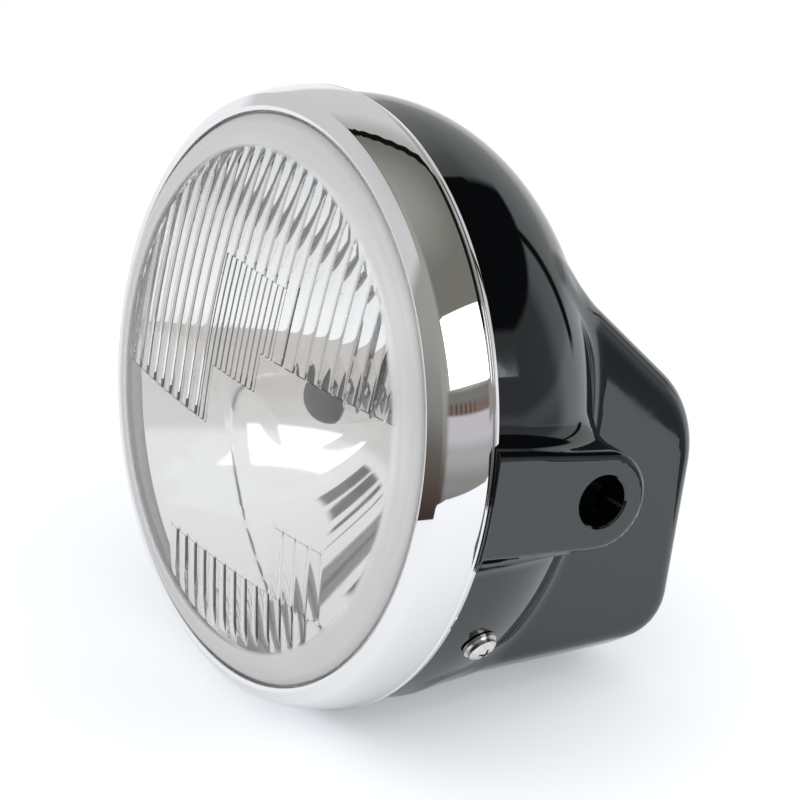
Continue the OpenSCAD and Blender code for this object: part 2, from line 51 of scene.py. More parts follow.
# ---------------------------------------------------------------- node helpers
class Tree:
    """A material or world node tree with short ways to add nodes."""

    def __init__(self, tree):
        self.t = tree
        self.n = tree.nodes
        self.l = tree.links

    def add(self, kind, **values):
        node = self.n.new(kind)
        for k, v in values.items():
            setattr(node, k, v)
        return node

    def put(self, value, socket):
        if hasattr(value, "is_output"):
            self.l.new(value, socket)
        else:
            socket.default_value = value

    def math(self, op, a, b=0.0, c=0.0):
        m = self.add("ShaderNodeMath", operation=op)
        self.put(a, m.inputs[0])
        self.put(b, m.inputs[1])
        if op == "MULTIPLY_ADD":
            self.put(c, m.inputs[2])
        return m.outputs[0]

    def product(self, *values):
        out = values[0]
        for value in values[1:]:
            out = self.math("MULTIPLY", out, value)
        return out

    def step(self, value, lo, hi, a=0.0, b=1.0):
        """A smooth change from a to b while the value goes from lo to hi."""
        m = self.add("ShaderNodeMapRange", interpolation_type="SMOOTHSTEP")
        self.put(value, m.inputs["Value"])
        m.inputs["From Min"].default_value = lo
        m.inputs["From Max"].default_value = hi
        m.inputs["To Min"].default_value = a
        m.inputs["To Max"].default_value = b
        return m.outputs["Result"]

    def between(self, value, lo, hi, soft=1.0):
        """1 inside the range and 0 outside it, with soft ends."""
        return self.product(self.step(value, lo - soft, lo + soft), self.step(value, hi - soft, hi + soft, 1.0, 0.0))

    def mix(self, fac, a, b):
        m = self.add("ShaderNodeMix", data_type="RGBA")
        colour_a, colour_b, colour_out = m.inputs[6], m.inputs[7], m.outputs[2]
        self.put(fac, m.inputs["Factor"])
        self.put(a, colour_a)
        self.put(b, colour_b)
        return colour_out

    def ramp(self, value, stops):
        r = self.add("ShaderNodeValToRGB")
        e = r.color_ramp.elements
        while len(e) > 1:
            e.remove(e[-1])
        e[0].position = stops[0][0]
        e[0].color = stops[0][1]
        for p, c in stops[1:]:
            e.new(p).color = c
        self.put(value, r.inputs["Fac"])
        return r.outputs["Color"]


def material(name, base, **sockets):
    """A new material, its node tree and its shader, with values set by socket name."""
    m = bpy.data.materials.new(name)
    m.use_nodes = True
    t = Tree(m.node_tree)
    b = m.node_tree.nodes["Principled BSDF"]
    b.inputs["Base Color"].default_value = base
    for k, v in sockets.items():
        b.inputs[k.replace("_", " ")].default_value = v
    return m, t, b


def noise_of(t, scale, detail, rough=0.5):
    tc = t.add("ShaderNodeTexCoord")
    n = t.add("ShaderNodeTexNoise")
    n.inputs["Scale"].default_value = scale
    n.inputs["Detail"].default_value = detail
    n.inputs["Roughness"].default_value = rough
    t.l.new(tc.outputs["Object"], n.inputs["Vector"])
    return n.outputs["Fac"]


def bump(t, bsdf, height, distance, strength):
    b = t.add("ShaderNodeBump")
    b.inputs["Strength"].default_value = strength
    b.inputs["Distance"].default_value = distance
    t.l.new(height, b.inputs["Height"])
    t.l.new(b.outputs["Normal"], bsdf.inputs["Normal"])


# ---------------------------------------------------------------- materials
def black_plastic():
    m, t, b = material("gloss_black_plastic", (0.0025, 0.0028, 0.0032, 1), Roughness=0.05, IOR=1.6)
    b.inputs["Specular IOR Level"].default_value = 0.8
    b.inputs["Specular Tint"].default_value = (0.86, 0.96, 1.0, 1)
    n = noise_of(t, 60, 4)
    t.l.new(t.step(n, 0.3, 0.75, 0.035, 0.06), b.inputs["Roughness"])
    bump(t, b, noise_of(t, 140, 2), 0.00002, 0.35)
    return m


def chrome():
    m, t, b = material("bright_chrome", (0.86, 0.865, 0.875, 1), Metallic=1.0, Roughness=0.03)
    n = noise_of(t, 35, 4)
    t.l.new(t.step(n, 0.35, 0.8, 0.02, 0.05), b.inputs["Roughness"])
    bump(t, b, noise_of(t, 22, 1), 0.00006, 0.25)
    return m


def mirror_coat():
    m, t, b = material("mirror_coat", (0.95, 0.952, 0.955, 1), Metallic=1.0, Roughness=0.03)
    n = noise_of(t, 40, 3)
    t.l.new(t.step(n, 0.3, 0.8, 0.02, 0.06), b.inputs["Roughness"])
    return m


def clear_lens():
    """Polished dome; the pressed outer ring is satin and pale."""
    m, t, b = material("clear_pressed_glass", (0.995, 1.0, 0.998, 1), Roughness=0.0, IOR=1.5)
    satin_from, satin_full = 75.5 * MM, 77.5 * MM
    tc = t.add("ShaderNodeTexCoord")
    s = t.add("ShaderNodeSeparateXYZ")
    t.l.new(tc.outputs["Object"], s.inputs[0])
    x, y, z = s.outputs
    r = t.math("SQRT", t.math("ADD", t.product(x, x), t.product(z, z)))
    t.l.new(t.step(r, satin_from, satin_full, 0.0, 0.25), b.inputs["Roughness"])
    t.l.new(t.step(r, satin_from, satin_full, 1.0, 0.38), b.inputs["Transmission Weight"])
    return m


def bulb_envelope():
    """Clear tube whose tip, towards the lens, is coated dark."""
    clear_glass, coating = (0.98, 0.98, 0.98, 1), (0.2, 0.2, 0.2, 1)
    coat_to, clear_from = -34.5 * MM, -33.5 * MM
    m, t, b = material("bulb_glass_dark_tip", clear_glass, Roughness=0.0, IOR=1.47)
    g = t.add("ShaderNodeNewGeometry")
    s = t.add("ShaderNodeSeparateXYZ")
    t.l.new(g.outputs["Position"], s.inputs[0])
    clear = t.step(s.outputs["Y"], coat_to, clear_from)
    t.l.new(clear, b.inputs["Transmission Weight"])
    t.l.new(t.mix(clear, coating, clear_glass), b.inputs["Base Color"])
    t.l.new(t.step(clear, 0.0, 1.0, 0.4, 0.0), b.inputs["Roughness"])
    return m


def rubber():
    m, t, b = material("black_rubber", (0.022, 0.022, 0.022, 1), Roughness=0.6)
    n = noise_of(t, 300, 4)
    t.l.new(t.step(n, 0.3, 0.7, 0.5, 0.75), b.inputs["Roughness"])
    bump(t, b, n, 0.0001, 0.3)
    return m


def pale_seal():
    m, t, b = material("pale_grey_seal", (0.5, 0.51, 0.5, 1), Roughness=0.45)
    n = noise_of(t, 220, 4)
    darker, lighter = (0.64, 0.65, 0.64, 1), (0.74, 0.75, 0.74, 1)
    t.l.new(t.mix(t.step(n, 0.3, 0.75), darker, lighter), b.inputs["Base Color"])
    t.l.new(t.step(n, 0.3, 0.7, 0.36, 0.55), b.inputs["Roughness"])
    bump(t, b, n, 0.00006, 0.3)
    return m


def plated(name, base, rough, spangle=120.0):
    """Thinly plated metal with faint light and dark patches."""
    m, t, b = material(name, base, Metallic=1.0, Roughness=rough)
    n = noise_of(t, spangle, 5, 0.6)
    patch_tone = 0.72
    dark = tuple(c * patch_tone for c in base[:3]) + (1.0,)
    t.l.new(t.mix(t.step(n, 0.35, 0.7), dark, base), b.inputs["Base Color"])
    t.l.new(t.step(n, 0.3, 0.75, rough * 0.75, rough * 1.3), b.inputs["Roughness"])
    bump(t, b, noise_of(t, spangle * 4, 2), 0.00003, 0.3)
    return m


MAT = {
    "black_shell": black_plastic(),
    "chrome_rim": chrome(),
    "clear_lens": clear_lens(),
    "mirror_coat": mirror_coat(),
    "black_rubber": rubber(),
    "pale_seal": pale_seal(),
    "zinc_sheet": plated("zinc_sheet", (0.56, 0.57, 0.58, 1), 0.32),
    "bulb_metal": plated("bulb_nickel", (0.64, 0.62, 0.58, 1), 0.26, 90),
    "bulb_envelope": bulb_envelope(),
    "filament_wire": plated("filament_wire", (0.36, 0.36, 0.38, 1), 0.3, 400),
    "screw_plate": plated("screw_plate", (0.92, 0.91, 0.89, 1), 0.18, 260),
}
for part in frame["record"]["subparts"]:
    o = NODES[part["node"]]
    o.data.materials.clear()
    o.data.materials.append(MAT[part["material_slot"]])
    o.data.polygons.foreach_set("material_index", np.zeros(len(o.data.polygons), np.int32))


# ---------------------------------------------------------------- mesh helpers
def make(name, verts, faces, slot, *replaced, sharp):
    """A new piece, given in millimetres, that stands for CAD nodes."""
    me = bpy.data.meshes.new(name)
    corners = [tuple(int(i) for i in f) for f in faces]
    me.from_pydata([tuple(v) for v in np.asarray(verts, float) * MM], [], corners)
    me.validate()
    me.polygons.foreach_set("use_smooth", [True] * len(me.polygons))
    me.materials.append(MAT[slot])
    o = bpy.data.objects.new(name, me)
    bpy.context.scene.collection.objects.link(o)
    bm = bmesh.new()
    bm.from_mesh(me)
    bmesh.ops.recalc_face_normals(bm, faces=bm.faces)
    bm.to_mesh(me)
    bm.free()
    me.set_sharp_from_angle(angle=math.radians(sharp))
    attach(o, "root")
    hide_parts(*replaced)


def rounded(points, n=6):
    """Closed outline of (r, y, fillet radius) points, as (r, y) points with its corners rounded."""
    out = []
    count = len(points)
    for i, p in enumerate(points):
        q = np.array(p[:2], float)
        rad = p[2]
        if rad <= 0:
            out.append(q)
            continue
        a = np.array(points[i - 1][:2], float) - q
        b = np.array(points[(i + 1) % count][:2], float) - q
        la, lb = np.linalg.norm(a), np.linalg.norm(b)
        a, b = a / la, b / lb
        half = math.acos(max(-1, min(1, a @ b))) / 2
        cut = min(rad / math.tan(half), 0.49 * la, 0.49 * lb)
        rad = cut * math.tan(half)
        centre = q + (a + b) / np.linalg.norm(a + b) * rad / math.sin(half)
        s, e = q + a * cut - centre, q + b * cut - centre
        a0, a1 = math.atan2(s[1], s[0]), math.atan2(e[1], e[0])
        d = (a1 - a0 + math.pi) % (2 * math.pi) - math.pi
        for k in range(n + 1):
            t = a0 + d * k / n
            out.append(centre + rad * np.array([math.cos(t), math.sin(t)]))
    return out


def bridge(rows, pairs):
    """Faces between rows of vertex numbers, with doubled numbers at the poles left out."""
    faces = []
    for i, k in pairs:
        a, b = rows[i], rows[k]
        if a[0] == a[1] and b[0] == b[1]:
            continue
        for j in range(len(a)):
            n = (j + 1) % len(a)
            face = list(dict.fromkeys((a[j], a[n], b[n], b[j])))
            if len(face) > 2:
                faces.append(face)
    return faces


def lathe(loop, seg):
    """Turns a closed (r, y) loop about the lamp axis. Points with r = 0 become poles."""
    ang = np.linspace(0, 2 * math.pi, seg, endpoint=False)
    verts, rows = [], []
    for r, y in loop:
        if r < 1e-6:
            rows.append([len(verts)] * seg)
            verts.append((0, y, 0))
        else:
            rows.append(list(range(len(verts), len(verts) + seg)))
            verts += [(r * math.cos(a), y, r * math.sin(a)) for a in ang]
    return verts, bridge(rows, [(i, (i + 1) % len(rows)) for i in range(len(rows))])


# ---------------------------------------------------------------- chrome trim ring
RIM_R, RIM_TAPER, RIM_SHEET = 95.0, 2.85, 1.3
RIM_Y0, RIM_Y1 = -56.4, -39.5


def rim_r(y, inset=0.0):
    """Radius of the ring's wide band, which bows in towards the lip."""
    return RIM_R - inset - RIM_TAPER * (1 - (y - RIM_Y0) / (RIM_Y1 - RIM_Y0)) ** 2


# lip, sloping face, band, groove and bead; then the inner side back to the lip
band = [RIM_Y0 + (RIM_Y1 - RIM_Y0) * i / 16 for i in range(17)]
outer = [(87.05, -57.0, 0), (87.1, -58.35, 0.4), (88.5, -58.75, 0.4), (92.3, -55.62, 0.8)]
outer += [(rim_r(y), y, 0) for y in band[2:16]]
outer += [(94.97, -40.3, 0.2), (94.5, -39.85, 0.2), (95.0, -39.4, 0.25), (94.92, -38.9, 0.35),
    (94.32, -37.3, 0.3)]
inner = [(93.5, -37.7, 0.2), (93.4, -39.4, 0)]
inner += [(rim_r(y, RIM_SHEET), y, 0) for y in reversed(band[2:15])]
inner += [(91.3, -54.8, 0.3), (90.6, -56.2, 0.3), (88.3, -57.85, 0.3), (87.9, -57.0, 0)]
make("trim_ring_chrome", *lathe(rounded(outer + inner), 288), "chrome_rim", "rim", sharp=50)

# ---------------------------------------------------------------- reflector
FOCAL, VERTEX = 27.0, 10.0
FLANGE_Y, FLANGE_R = -51.7, 90.5
NECK_R, NECK_Y = 22.0, 12.0
DISH_SHEET = 0.8


def dish(r):
    """The mirror's parabola."""
    return VERTEX - r * r / (4 * FOCAL)


edge = math.sqrt(4 * FOCAL * (VERTEX - FLANGE_Y))
radii = [edge - (edge - NECK_R) * i / 60 for i in range(61)]
ref_loop = [(FLANGE_R, FLANGE_Y), (edge + DISH_SHEET, FLANGE_Y)] + [(r, dish(r)) for r in radii]
neck_outer = NECK_R + DISH_SHEET
ref_loop += [(NECK_R, NECK_Y), (neck_outer, NECK_Y)]
for i in range(31):
    r = neck_outer + (edge + 0.5 - neck_outer) * i / 30
    ref_loop.append((r, min(dish(r) + DISH_SHEET * math.sqrt(1 + (r / (2 * FOCAL)) ** 2), NECK_Y)))
ref_loop += [(edge + 2.0, FLANGE_Y + DISH_SHEET), (FLANGE_R, FLANGE_Y + DISH_SHEET)]
make("reflector_dish", *lathe(ref_loop, 256), "mirror_coat", "reflector", sharp=30)

# ---------------------------------------------------------------- lens
FRONT_Y = -70.5
DOME_O, DOME_I = 380.0, 376.5
DOME_C = FRONT_Y + DOME_O
RIB_EDGE = 75.2
COARSE_PITCH, COARSE_H = 6.0, 0.4
FINE_PITCH, FINE_H = 3.0, 0.3
LOWER_DEPTH, TALL_DEPTH = 0.8, 0.45


def dome(r, radius):
    return DOME_C - math.sqrt(radius * radius - r * r)


def arc_rib(x, pitch, height):
    """Height of a row of round ribs across x."""
    dx = x - pitch * np.round(x / pitch)
    half = pitch / 2
    rr = (half * half + height * height) / (2 * height)
    return np.sqrt(np.maximum(rr * rr - dx * dx, 0)) - (rr - height)


def rib_height(x, z):
    """How far the inner face stands proud of the plain dome."""
    coarse = arc_rib(x, COARSE_PITCH, COARSE_H)
    fine = arc_rib(x, FINE_PITCH, FINE_H)
    start = np.where(x < -15, -12.0, np.where(x < 9, 6.0, 18.0))
    upper = z > start
    fine_zone = upper & (x > -21) & (x < 15) & (z < 40)
    lower = (z < -52) & (x > -33) & (x < 45)
    tall = (x > 27) & (x < 51) & (z < -30) & (z >= -52)
    h = np.where(upper, coarse, 0.0)
    h = np.where(fine_zone, fine, h)
    h = np.where(lower, coarse * LOWER_DEPTH, h)
    h = np.where(tall, coarse * TALL_DEPTH, h)
    return np.maximum(h, 0.0)


def lens_columns():
    """Places across the lens where its inner face is cut into columns, closer together at both sides."""
    ends = np.linspace(0.3555, 0.5, 14) * math.pi
    places = np.concatenate([np.arange(-66, 66.01, 0.5), RIB_EDGE * np.sin(ends), -RIB_EDGE * np.sin(ends)])
    return [c for c in sorted(set(np.round(places, 4))) if abs(c) < RIB_EDGE - 0.02]


def lens_heights(x):
    """Heights of one column's vertices, with a close pair at each level where a block of ribs ends."""
    levels = [-52.0, -30.0, -12.0, 6.0, 18.0, 40.0]
    per = [8, 10, 8, 8, 6, 8, 12]
    zm = math.sqrt(RIB_EDGE ** 2 - x * x)
    marks = [-zm] + [lv + d for lv in levels for d in (-0.1, 0.1)] + [zm]
    n = len(marks)
    marks = [min(max(v, -zm + 0.01 * k), zm - 0.01 * (n - 1 - k)) for k, v in enumerate(marks)]
    return [z for i, c in enumerate(per) for z in np.linspace(marks[2 * i], marks[2 * i + 1], c + 1)]


def lens_piece():
    verts, grid = [], []
    for x in lens_columns():
        heights = lens_heights(x)
        grid.append(list(range(len(verts), len(verts) + len(heights))))
        verts += [(x, 0, z) for z in heights]
    v = np.array(verts)
    plain = DOME_C - np.sqrt(DOME_I ** 2 - v[:, 0] ** 2 - v[:, 2] ** 2)
    v[:, 1] = plain + rib_height(v[:, 0], v[:, 2]) * (np.hypot(v[:, 0], v[:, 2]) < RIB_EDGE - 0.25)
    verts = [tuple(p) for p in v]
    faces = []
    for a, b in zip(grid[:-1], grid[1:]):
        for j in range(len(a) - 1):
            faces.append((a[j], a[j + 1], b[j + 1], b[j]))
    # the first and last column close on one more vertex at each side
    left, right = len(verts), len(verts) + 1
    verts += [(side * RIB_EDGE, dome(RIB_EDGE, DOME_I), 0) for side in (-1, 1)]
    for row, pole in ((grid[0], left), (grid[-1], right)):
        for j in range(len(row) - 1):
            faces.append((row[j], row[j + 1], pole))
    # from the ribs' edge the section runs outwards, over the flange and back across the front
    ring = [right] + [r[-1] for r in reversed(grid)] + [left] + [r[0] for r in grid]
    ang = [math.atan2(verts[i][2], verts[i][0]) % (2 * math.pi) for i in ring]
    inner_y = dome(75, DOME_I)
    front = (75.0, 72.0, 68.0, 63.0, 57.0, 50.0, 42.0, 33.0, 24.0, 15.0, 7.0)
    profile = rounded([(RIB_EDGE, dome(RIB_EDGE, DOME_I), 0), (76.4, inner_y + 0.1, 0),
        (80.5, inner_y + 1.2, 2.0), (82.6, -56.2, 1.2), (83.0, -52.7, 0), (90.0, -52.7, 0),
        (90.0, -56.2, 0), (86.4, -56.2, 0), (86.1, -58.2, 0.6), (84.4, -60.3, 1.6),
        (80.8, -61.9, 2.5), (77.4, -62.55, 2.0)]
        + [(r, dome(r, DOME_O), 0) for r in front] + [(0.0, FRONT_Y, 0)])
    rows = [ring]
    for r, y in profile[1:]:
        if r < 1e-6:
            rows.append([len(verts)] * len(ring))
            verts.append((0, y, 0))
        else:
            rows.append(list(range(len(verts), len(verts) + len(ring))))
            verts += [(r * math.cos(a), y, r * math.sin(a)) for a in ang]
    faces += bridge(rows, [(i, i + 1) for i in range(len(rows) - 1)])
    return verts, faces


make("lens_ribbed_glass", *lens_piece(), "clear_lens", "lens", sharp=22)

# ---------------------------------------------------------------- black bucket
BOWL_R, SH_R, SH_Y = 92.6, 50.0, -29.0  # bowl radius, its shoulder's radius and where that starts
SH_C = BOWL_R - SH_R
WALL = 2.6
FRONT_EDGE_Y = -43.0
EDGE_R = 6.5  # radius of the housing's edges
REAR_Y = 61.5
TOP_SLOPE = math.radians(37.3)
SILL_SLOPE = math.radians(7.0)
TURN_R, HEEL_R, BELLY = 36.5, 15.5, 16.5
CORE_X = 60.0 - EDGE_R
LUG_X, LUG_R, LUG_EDGE_R = 97.0, 15.5, 2.2
HOLE_R, HOLE_CHAMFER = 8.0, 0.6
WIRING_R, WIRING_Z = 18.0, -25.0
DRAIN_R = 2.5
BOWL_FILLET, LUG_FILLET = 5.0, 6.0


def top_z(y):
    return 59.0 - math.tan(TOP_SLOPE) * y


def sill_z(y):
    return -69.2 + math.tan(SILL_SLOPE) * y


def core_points(steps=12, across=32):
    """Centres of the balls that the rear housing is stretched over."""
    pts = []
    k = TURN_R - EDGE_R
    turn_y = REAR_Y - TURN_R
    turn_z = top_z(turn_y) - TURN_R / math.cos(TOP_SLOPE)
    for x in (-CORE_X, CORE_X):
        pts.append((x, -3.0, top_z(-3.0) - EDGE_R / math.cos(TOP_SLOPE)))
        for i in range(steps + 1):
            a = (math.pi / 2 - TOP_SLOPE) * (1 - i / steps)
            pts.append((x, turn_y + k * math.cos(a), turn_z + k * math.sin(a)))
    k = HEEL_R - EDGE_R
    turn_y = REAR_Y - HEEL_R
    turn_z = sill_z(turn_y) + HEEL_R / math.cos(SILL_SLOPE)
    heel = [(-20.0, sill_z(-20.0) + EDGE_R / math.cos(SILL_SLOPE))]
    for i in range(steps // 2 + 1):
        a = (SILL_SLOPE - math.pi / 2) * i * 2 / steps
        heel.append((turn_y + k * math.cos(a), turn_z + k * math.sin(a)))
    for i in range(across + 1):
        u = -1 + 2 * i / across
        drop = BELLY * (1 - abs(u) ** 2.4)
        pts += [(u * CORE_X, y, z - drop) for y, z in heel]
    return pts


def core_tree():
    bm = bmesh.new()
    for p in core_points():
        bm.verts.new(p)
    bmesh.ops.convex_hull(bm, input=bm.verts)
    bmesh.ops.triangulate(bm, faces=bm.faces)
    tree = BVHTree.FromBMesh(bm)
    bm.free()
    return tree


# outline of a lug in y and z: a half circle about the hole, then forwards under the trim ring
lug_turn = [math.pi * (i / 48 - 0.5) for i in range(49)]
LUG = np.array([(LUG_R * math.cos(a), LUG_R * math.sin(a)) for a in lug_turn] + [(-42.0, 17.0), (-42.0, -20.2)])


def convex_distance(p, poly):
    """Signed distance and direction to a convex outline that runs anticlockwise."""
    best = np.full(len(p), 1e9)
    near = np.zeros_like(p)
    inside = np.full(len(p), -1e9)
    normal = np.zeros_like(p)
    for a, b in zip(poly, np.roll(poly, -1, axis=0)):
        e = b - a
        n = np.array([e[1], -e[0]]) / np.linalg.norm(e)
        s = (p - a) @ n
        pick = s > inside
        inside = np.where(pick, s, inside)
        normal[pick] = n
        t = np.clip(((p - a) @ e) / (e @ e), 0, 1)
        c = a + t[:, None] * e
        d = np.linalg.norm(p - c, axis=1)
        pick = d < best
        best = np.where(pick, d, best)
        near[pick] = c[pick]
    out = inside > 0
    g = np.where(out[:, None], (p - near) / np.maximum(best, 1e-9)[:, None], normal)
    return np.where(out, best, inside), g


def bowl_field(p):
    """Signed distance and direction to the round bowl, a tube with a round shoulder."""
    r = np.hypot(p[:, 0], p[:, 2])
    rs = np.maximum(r, 1e-9)
    dr = np.stack([p[:, 0] / rs, np.zeros(len(p)), p[:, 2] / rs], 1)
    dy = np.tile([0.0, 1.0, 0.0], (len(p), 1))
    u = np.maximum(r - SH_C, 0)
    w = p[:, 1] - SH_Y
    h = np.maximum(np.hypot(u, w), 1e-9)
    back = w > 0
    d = np.where(back, h - SH_R, r - BOWL_R)
    g = np.where(back[:, None], dr * (u / h)[:, None] + dy * (w / h)[:, None], dr)
    return d, g


def housing_field(p, tree):
    """Signed distance and direction to the rear housing, from outside its core."""
    d = np.empty(len(p))
    g = np.empty_like(p)
    for i, q in enumerate(p):
        near = tree.find_nearest(Vector(q))[0]
        v = q - np.array(near)
        n = np.linalg.norm(v)
        d[i] = n - EDGE_R
        g[i] = v / max(n, 1e-6)
    return d, g


def lug_field(p):
    """Both lugs at once, as a slab of their outline with a rounded face edge."""
    q = np.stack([p[:, 1], p[:, 2]], 1)
    a, ga2 = convex_distance(q, LUG)
    ga = np.stack([np.zeros(len(p)), ga2[:, 0], ga2[:, 1]], 1)
    b = np.abs(p[:, 0]) - LUG_X
    gb = np.stack([np.sign(p[:, 0]), np.zeros(len(p)), np.zeros(len(p))], 1)
    ua, ub = np.maximum(a + LUG_EDGE_R, 0), np.maximum(b + LUG_EDGE_R, 0)
    length = np.hypot(ua, ub)
    corner = (ua > 0) & (ub > 0)
    d = np.where(corner, length - LUG_EDGE_R, np.maximum(a, b))
    flat = np.where((a > b)[:, None], ga, gb)
    safe = np.maximum(length, 1e-9)[:, None]
    g = np.where(corner[:, None], (ga * ua[:, None] + gb * ub[:, None]) / safe, flat)
    return d, g


def join(a, ga, b, gb, r):
    """Round fillet of radius r between two fields."""
    ua, ub = np.maximum(r - a, 0), np.maximum(r - b, 0)
    length = np.maximum(np.hypot(ua, ub), 1e-9)
    least = np.minimum(a, b)
    zone = (ua > 0) & (ub > 0)
    d = np.where(zone, np.maximum(r, least) - length, least)
    g = np.where((a < b)[:, None], ga, gb)
    gz = (ga * ua[:, None] + gb * ub[:, None]) / length[:, None]
    g = np.where(zone[:, None], gz, g)
    return d, g


TREE = core_tree()


def outer_field(p):
    """Signed distance and direction to the bucket's smooth outer surface."""
    d, g = join(*bowl_field(p), *housing_field(p, TREE), BOWL_FILLET)
    return join(d, g, *lug_field(p), LUG_FILLET)


def hull_mesh(points):
    bm = bmesh.new()
    for p in points:
        bm.verts.new(p)
    bmesh.ops.convex_hull(bm, input=bm.verts)
    bmesh.ops.delete(bm, geom=[v for v in bm.verts if not v.link_faces], context="VERTS")
    me = bpy.data.meshes.new("hull")
    bm.to_mesh(me)
    bm.free()
    return me


def sphere_points(centres, r, n):
    """Points on a ball about each centre."""
    out = []
    for c in centres:
        for i in range(n + 1):
            t = math.pi * i / n
            for j in range(2 * n):
                f = math.pi * j / n
                out.append((c[0] + r * math.sin(t) * math.cos(f), c[1] + r * math.sin(t) * math.sin(f),
                    c[2] + r * math.cos(t)))
    return out


def bowl_loop(inset, front):
    """Half section of the bowl, filled up to the axis."""
    r = BOWL_R - inset
    s = SH_R - inset
    loop = [(0, front), (r, front)]
    loop += [(SH_C + s * math.cos(a), SH_Y + s * math.sin(a)) for a in np.linspace(0, math.pi / 2, 25)]
    return loop + [(0, SH_Y + s)]


def to_object(name, verts=None, faces=None, mesh=None):
    me = mesh or bpy.data.meshes.new(name)
    if mesh is None:
        me.from_pydata([tuple(v) for v in verts], [], [tuple(f) for f in faces])
    o = bpy.data.objects.new(name, me)
    bpy.context.scene.collection.objects.link(o)
    return o


def baked(o):
    """The object's mesh with its modifiers applied."""
    dg = bpy.context.evaluated_depsgraph_get()
    return bpy.data.meshes.new_from_object(o.evaluated_get(dg), depsgraph=dg)


def drop(*objects):
    for o in objects:
        me = o.data
        bpy.data.objects.remove(o)
        bpy.data.meshes.remove(me)


def outer_skin(voxel):
    """Voxel union of the rough forms, then moved onto the smooth filleted surface."""
    parts = [to_object("bowl", *lathe(bowl_loop(0, -52.0), 96))]
    parts.append(to_object("housing", mesh=hull_mesh(sphere_points(core_points(4, 10), EDGE_R, 8))))
    for side in (-1, 1):
        pts = [(side * x, y, z) for x in (50.0, 96.0) for y, z in LUG]
        parts.append(to_object("lug", mesh=hull_mesh(pts)))
    bm = bmesh.new()
    for o in parts:
        bm.from_mesh(o.data)
    me = bpy.data.meshes.new("rough")
    bm.to_mesh(me)
    bm.free()
    drop(*parts)
    o = to_object("rough", mesh=me)
    r = o.modifiers.new("remesh", "REMESH")
    r.mode = "VOXEL"
    r.voxel_size = voxel
    r.adaptivity = 0.0
    out = baked(o)
    drop(o)
    v = np.empty(len(out.vertices) * 3)
    out.vertices.foreach_get("co", v)
    v = v.reshape(-1, 3)
    e = np.empty(len(out.edges) * 2, np.int64)
    out.edges.foreach_get("vertices", e)
    e = e.reshape(-1, 2)
    count = np.bincount(e.ravel(), minlength=len(v))[:, None]
    # each round evens out the mesh and pulls it back to the surface; the front is cut off later
    held = v[:, 1] < -48.0
    start = v.copy()
    rounds, pulls, last_pulls, reach = 5, 2, 4, 1.5
    for i in range(rounds):
        mean = np.zeros_like(v)
        np.add.at(mean, e[:, 0], v[e[:, 1]])
        np.add.at(mean, e[:, 1], v[e[:, 0]])
        mean /= np.maximum(count, 1)
        v = v + (mean - v) * 0.5
        for k in range(pulls if i < rounds - 1 else last_pulls):
            d, g = outer_field(v)
            v = v - g * np.clip(d, -reach, reach)[:, None]
        v[held] = start[held]
    faces = [tuple(p.vertices) for p in out.polygons]
    return v, faces


def build_shell():
    """The smooth skin, cut flat in front, hollowed out and pierced."""
    skin_v, skin_f = outer_skin(1.35)
    bm = bmesh.new()
    vs = [bm.verts.new(p) for p in skin_v]
    for f in skin_f:
        bm.faces.new([vs[i] for i in f])
    # the front is cut flat at the edge that the trim ring covers
    geom = list(bm.verts) + list(bm.edges) + list(bm.faces)
    bmesh.ops.bisect_plane(bm, geom=geom, plane_co=(0, FRONT_EDGE_Y, 0), plane_no=(0, -1, 0), clear_outer=True)
    bmesh.ops.holes_fill(bm, edges=[e for e in bm.edges if e.is_boundary], sides=0)
    bmesh.ops.recalc_face_normals(bm, faces=bm.faces)
    me = bpy.data.meshes.new("bucket")
    bm.to_mesh(me)
    bm.free()
    o = to_object("bucket", mesh=me)
    cuts = [to_object("bowl_inside", *lathe(bowl_loop(WALL, -46.0), 128))]
    inside = sphere_points(core_points(6, 16), EDGE_R - WALL, 6)
    cuts.append(to_object("housing_inside", mesh=hull_mesh(inside)))
    wide = HOLE_R + HOLE_CHAMFER
    hole = [(0, 78.0), (HOLE_R, 78.0), (HOLE_R, LUG_X - HOLE_CHAMFER), (wide, LUG_X), (wide, 99.0), (0, 99.0)]
    v, f = lathe(hole, 96)
    for side in (-1, 1):
        cuts.append(to_object("side_hole", [(side * y, x, z) for x, y, z in v], f))
    v, f = lathe([(0, 54.0), (WIRING_R, 54.0), (WIRING_R, 66.0), (0, 66.0)], 96)
    cuts.append(to_object("wiring_hole", [(x, y, z + WIRING_Z) for x, y, z in v], f))
    v, f = lathe([(0, -5.0), (DRAIN_R, -5.0), (DRAIN_R, 5.0), (0, 5.0)], 24)
    cuts.append(to_object("drain_hole", [(x, SH_Y + z, -BOWL_R + y) for x, y, z in v], f))
    # the lugs end flat and just cover the back slope of the trim ring's bead
    bead = [(92.9, -60.0), (112.0, -60.0), (112.0, -38.9), (95.2, -38.9), (95.2, -37.2), (92.9, -37.2)]
    cuts.append(to_object("ring_room", *lathe(bead, 128)))
    for c in cuts:
        bm = bmesh.new()
        bm.from_mesh(c.data)
        bmesh.ops.recalc_face_normals(bm, faces=bm.faces)
        bm.to_mesh(c.data)
        bm.free()
        m = o.modifiers.new("cut", "BOOLEAN")
        m.operation = "DIFFERENCE"
        m.solver = "MANIFOLD"
        m.object = c
    out = baked(o)
    drop(o, *cuts)
    return out


